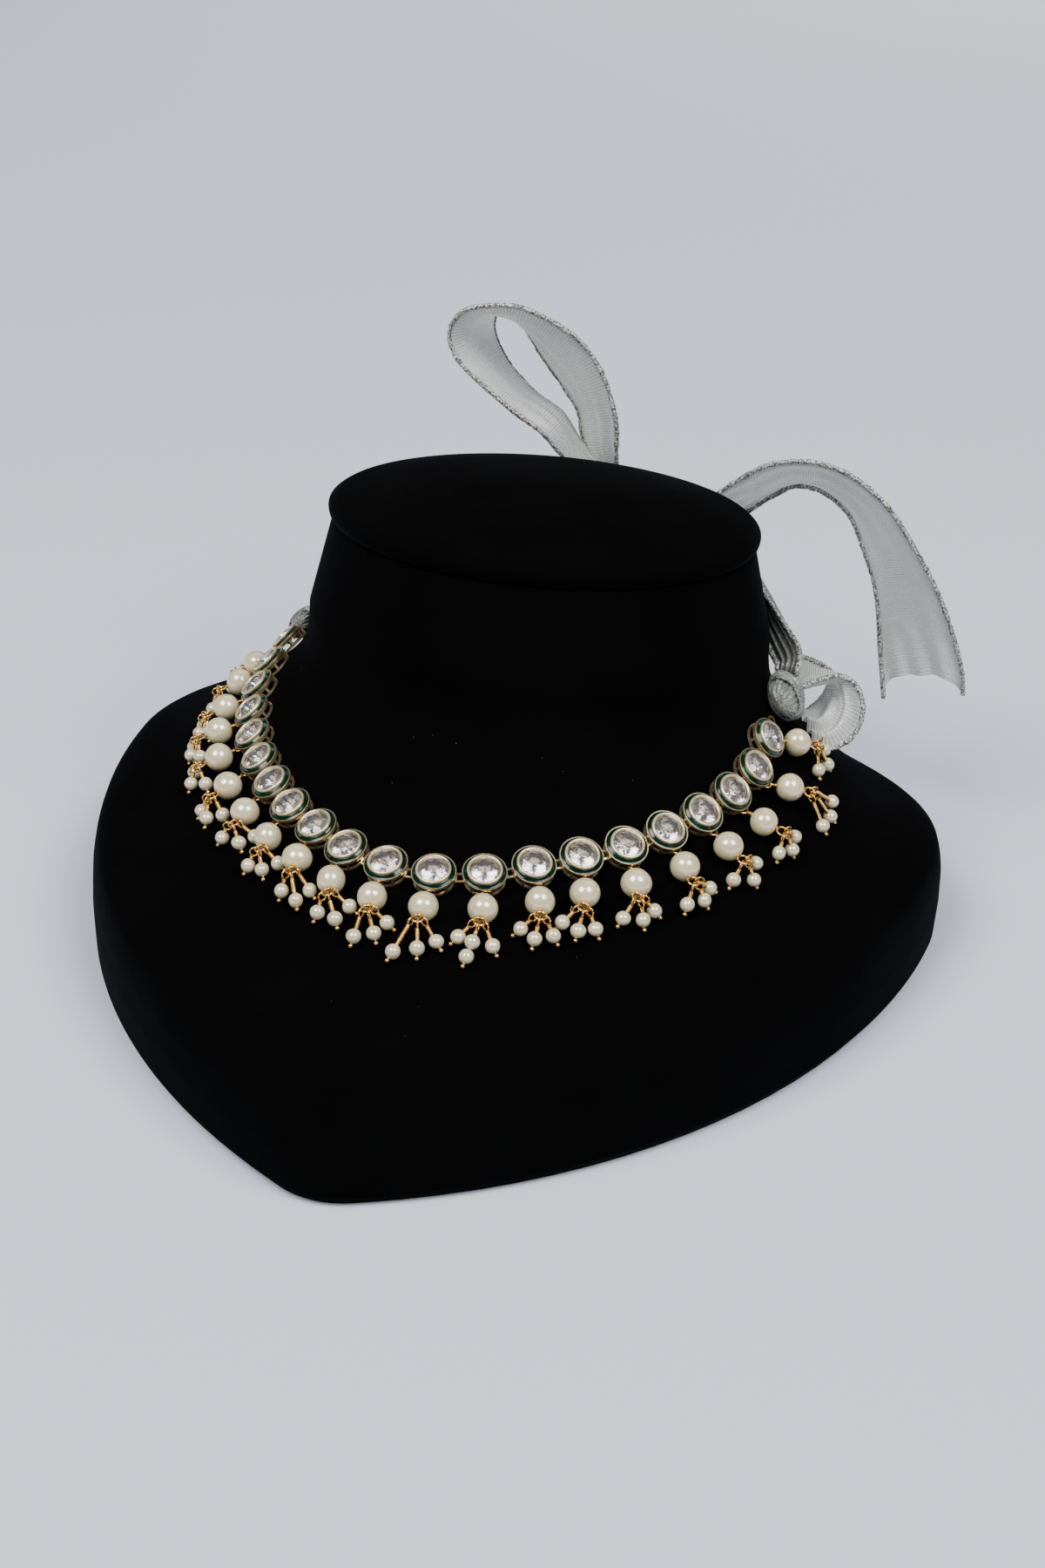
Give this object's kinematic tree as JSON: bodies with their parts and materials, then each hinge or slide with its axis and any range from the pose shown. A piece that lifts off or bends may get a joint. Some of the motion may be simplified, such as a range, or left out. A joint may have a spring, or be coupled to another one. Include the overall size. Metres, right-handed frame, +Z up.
{
  "type": "necklace on neck bust",
  "caption": "Necklace of linked stone set mounts with pearl drops, tied with ribbon behind the neck of a low velvet display bust.",
  "frame": {"origin": "on the underside of the base board, below the axis of the neck", "axes": "+Z up, -Y towards the front tip of the chest, +X towards the side where the long ribbon tail hangs"},
  "size_m": [0.2242, 0.2291, 0.1403],
  "materials": {
    "velvet": "soft black velvet",
    "board": "velvet covered board",
    "gold": "pale polished gold plate",
    "fine_gold": "orange gold wire",
    "stone": "clear cut glass",
    "enamel": "dark bottle green glossy enamel",
    "pearl": "cream pearl lustre",
    "small_pearl": "cream pearl lustre, slightly irregular",
    "ribbon": "grey silver metallic ribbon"
  },
  "bodies": {
    "root": {"bust_body": "velvet", "bust_cap": "velvet", "base_board": "board", "setting_01": "gold", "setting_02": "gold", "setting_03": "gold", "setting_04": "gold", "setting_05": "gold", "setting_06": "gold", "setting_07": "gold", "setting_08": "gold", "setting_09": "gold", "setting_10": "gold", "setting_11": "gold", "setting_12": "gold", "setting_13": "gold", "setting_14": "gold", "setting_15": "gold", "setting_16": "gold", "setting_17": "gold", "setting_18": "gold", "setting_19": "gold", "setting_20": "gold", "setting_21": "gold", "pearl_01": "pearl", "pearl_02": "pearl", "pearl_03": "pearl", "pearl_04": "pearl", "pearl_05": "pearl", "pearl_06": "pearl", "pearl_07": "pearl", "pearl_08": "pearl", "pearl_09": "pearl", "pearl_10": "pearl", "pearl_11": "pearl", "pearl_12": "pearl", "pearl_13": "pearl", "pearl_14": "pearl", "pearl_15": "pearl", "pearl_16": "pearl", "pearl_17": "pearl", "pearl_18": "pearl", "pearl_19": "pearl", "pearl_20": "pearl", "pearl_21": "pearl", "stones": "stone", "enamel_rings": "enamel", "drop_wires": "fine_gold", "head_pins": "fine_gold", "small_pearls": "small_pearl", "end_loops": "fine_gold", "ribbon_knot_right": "ribbon", "ribbon_knot_left": "ribbon", "ribbon_strand_right": "ribbon", "ribbon_strand_left": "ribbon", "ribbon_bow_knot": "ribbon", "ribbon_bow_loop": "ribbon", "ribbon_long_tail": "ribbon", "ribbon_short_end": "ribbon"}
  },
  "joints": []
}
